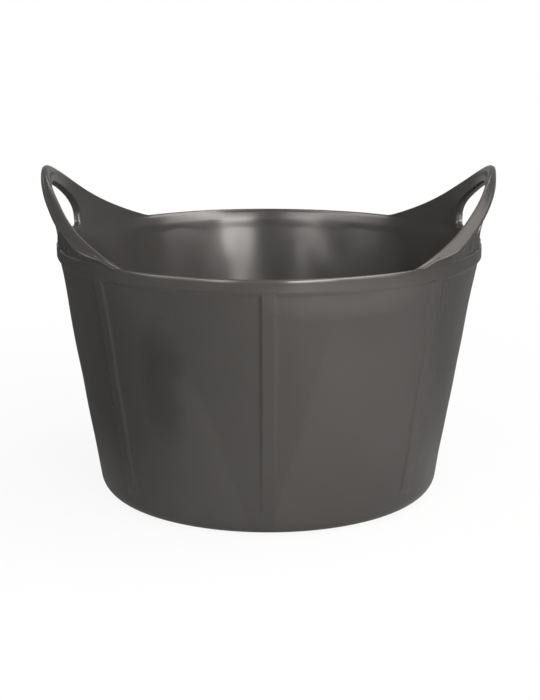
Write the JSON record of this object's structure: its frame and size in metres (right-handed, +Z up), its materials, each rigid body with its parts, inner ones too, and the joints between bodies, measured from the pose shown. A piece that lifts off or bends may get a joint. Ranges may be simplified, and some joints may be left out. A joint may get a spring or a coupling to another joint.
{
  "type": "flexible bucket",
  "caption": "Round tapered bucket in soft dark grey plastic, with raised lug handles and arched hand holes that bend inwards to be carried.",
  "frame": {"origin": "centre of the base, at the height of the ground it stands on", "axes": "+Z up, +X through the middle of the right-hand handle, and -Y towards the side shown in the picture"},
  "size_m": [0.4382, 0.4114, 0.3195],
  "materials": {
    "tub_plastic": "semi-gloss, softly mottled",
    "handle_plastic": "semi-gloss, softly mottled"
  },
  "bodies": {
    "tub": {"tub_wall": "tub_plastic", "base_corner": "tub_plastic", "tub_floor": "tub_plastic", "foot_ring": "tub_plastic", "rim_band": "tub_plastic", "wall_rib_front": "tub_plastic", "wall_rib_front_right": "tub_plastic", "wall_rib_back_right": "tub_plastic", "wall_rib_back": "tub_plastic", "wall_rib_back_left": "tub_plastic", "wall_rib_front_left": "tub_plastic", "leg_panel_front_left": "handle_plastic", "leg_roll_front_left": "handle_plastic", "leg_brace_front_left": "handle_plastic", "leg_panel_back_left": "handle_plastic", "leg_roll_back_left": "handle_plastic", "leg_brace_back_left": "handle_plastic", "leg_panel_front_right": "handle_plastic", "leg_roll_front_right": "handle_plastic", "leg_brace_front_right": "handle_plastic", "leg_panel_back_right": "handle_plastic", "leg_roll_back_right": "handle_plastic", "leg_brace_back_right": "handle_plastic"},
    "handle_left": {"handle_panel_left": "handle_plastic", "grip_roll_left": "handle_plastic", "hand_hole_collar_left": "handle_plastic", "grip_web_front_left": "handle_plastic", "grip_web_back_left": "handle_plastic"},
    "handle_right": {"handle_panel_right": "handle_plastic", "grip_roll_right": "handle_plastic", "hand_hole_collar_right": "handle_plastic", "grip_web_front_right": "handle_plastic", "grip_web_back_right": "handle_plastic"}
  },
  "joints": [
    {"name": "handle_left_bend", "type": "hinge", "parent": "tub", "child": "handle_left", "pos_m": [-0.17836, 0, 0.2473], "axis": [0, 1, 0], "range_deg": [0, 40], "stiffness_Nm_per_rad": 2},
    {"name": "handle_right_bend", "type": "hinge", "parent": "tub", "child": "handle_right", "pos_m": [0.17836, 0, 0.2473], "axis": [0, -1, 0], "range_deg": [0, 40], "stiffness_Nm_per_rad": 2}
  ]
}
